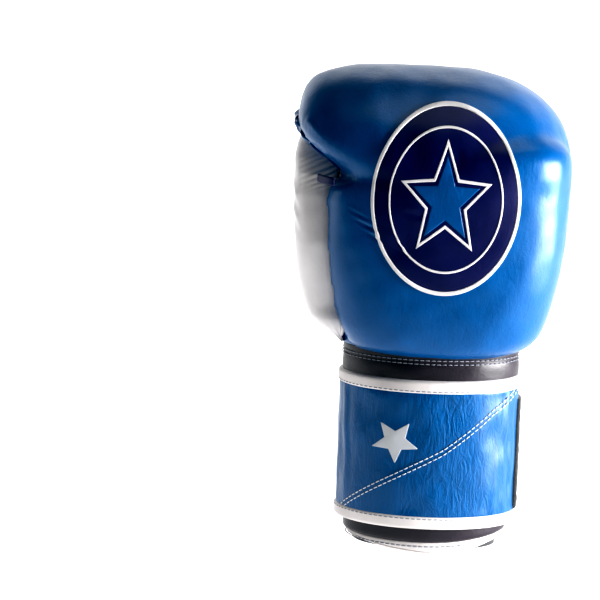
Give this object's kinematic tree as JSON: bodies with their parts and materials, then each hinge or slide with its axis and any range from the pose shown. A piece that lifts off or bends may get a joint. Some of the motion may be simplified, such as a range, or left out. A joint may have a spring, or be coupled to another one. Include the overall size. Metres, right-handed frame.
{
  "type": "boxing glove",
  "caption": "Right-hand padded boxing glove with a gathered thumb side, palm slot and a wide hook-and-loop wrist strap.",
  "frame": {"origin": "centre of the wrist opening, on the flat rim the glove stands on", "axes": "+Z from the wrist to the fingertips, +Y out of the palm, -X towards the thumb"},
  "size_m": [0.168, 0.1459, 0.2845],
  "materials": {
    "blue_leather": "glossy coated leather",
    "navy_leather": "smooth navy leather",
    "black_leather": "grained black leather",
    "white_leather": "glossy white leather",
    "white_binding": "thin white binding",
    "foam": "closed-cell foam",
    "lining": "smooth lining cloth",
    "air_mesh": "open air mesh",
    "hook_tape": "hook tape",
    "loop_tape": "brushed loop tape"
  },
  "bodies": {
    "hand": {"back_leather": "blue_leather", "knuckle_foam_outer": "foam", "knuckle_foam_inner": "foam", "badge_lower": "navy_leather", "side_leather": "blue_leather", "side_foam": "foam", "hand_liner": "lining", "palm_leather_thumb_side": "black_leather", "palm_leather_finger_side": "blue_leather", "palm_foam_thumb_side": "foam", "palm_foam_finger_side": "foam", "palm_mesh": "air_mesh", "mesh_tape": "black_leather", "slot_strip_thumb_side": "blue_leather", "slot_strip_finger_side": "blue_leather", "slot_piping_thumb_side": "white_binding", "slot_piping_finger_side": "white_binding", "slot_tongue": "black_leather", "wrist_band": "black_leather", "cuff_foam": "foam", "cuff_cover": "black_leather", "cuff_liner": "lining", "cuff_rim_binding": "white_binding", "loop_panel": "loop_tape", "strap_root_backing": "foam", "strap_root": "blue_leather", "strap_root_top_binding": "white_binding", "strap_root_bottom_binding": "white_binding", "thumb_base_strip": "blue_leather"},
    "fingers": {"badge_upper": "navy_leather", "finger_leather": "blue_leather", "finger_foam_outer": "foam", "finger_foam_inner": "foam", "curl_foam": "foam", "finger_end_cap": "blue_leather", "finger_gather": "blue_leather", "gather_lining": "lining", "finger_liner": "lining", "grip_bar": "foam", "grip_bar_cover": "lining"},
    "strap": {"strap_wrap": "blue_leather", "strap_wrap_top_binding": "white_binding", "strap_wrap_bottom_binding": "white_binding", "hook_patch_middle": "hook_tape"},
    "strap_tip": {"strap_end": "blue_leather", "strap_end_binding": "white_binding", "hook_patch_end": "hook_tape"},
    "thumb": {"thumb_leather": "white_leather", "thumb_foam": "foam", "thumb_liner": "lining", "thumb_rim_piping": "white_binding", "thumb_inner_panel": "navy_leather", "thumb_web": "navy_leather"}
  },
  "joints": [
    {"name": "strap_open", "type": "hinge", "parent": "hand", "child": "strap", "pos_m": [-0.04274, 0.02648, 0.0615], "axis": [0, 0, 1], "range_deg": [0, 150]},
    {"name": "strap_end_peel", "type": "hinge", "parent": "strap", "child": "strap_tip", "pos_m": [0.01209, 0.04126, 0.0615], "axis": [0, 0, 1], "range_deg": [0, 60]},
    {"name": "fist_open", "type": "hinge", "parent": "hand", "child": "fingers", "pos_m": [0, -0.0535, 0.2166], "axis": [1, 0, 0], "range_deg": [0, 10]},
    {"name": "thumb_flex", "type": "hinge", "parent": "hand", "child": "thumb", "pos_m": [-0.06, 0.011, 0.1395], "axis": [-0.7659, -0.6429, 0], "range_deg": [0, 10]}
  ]
}
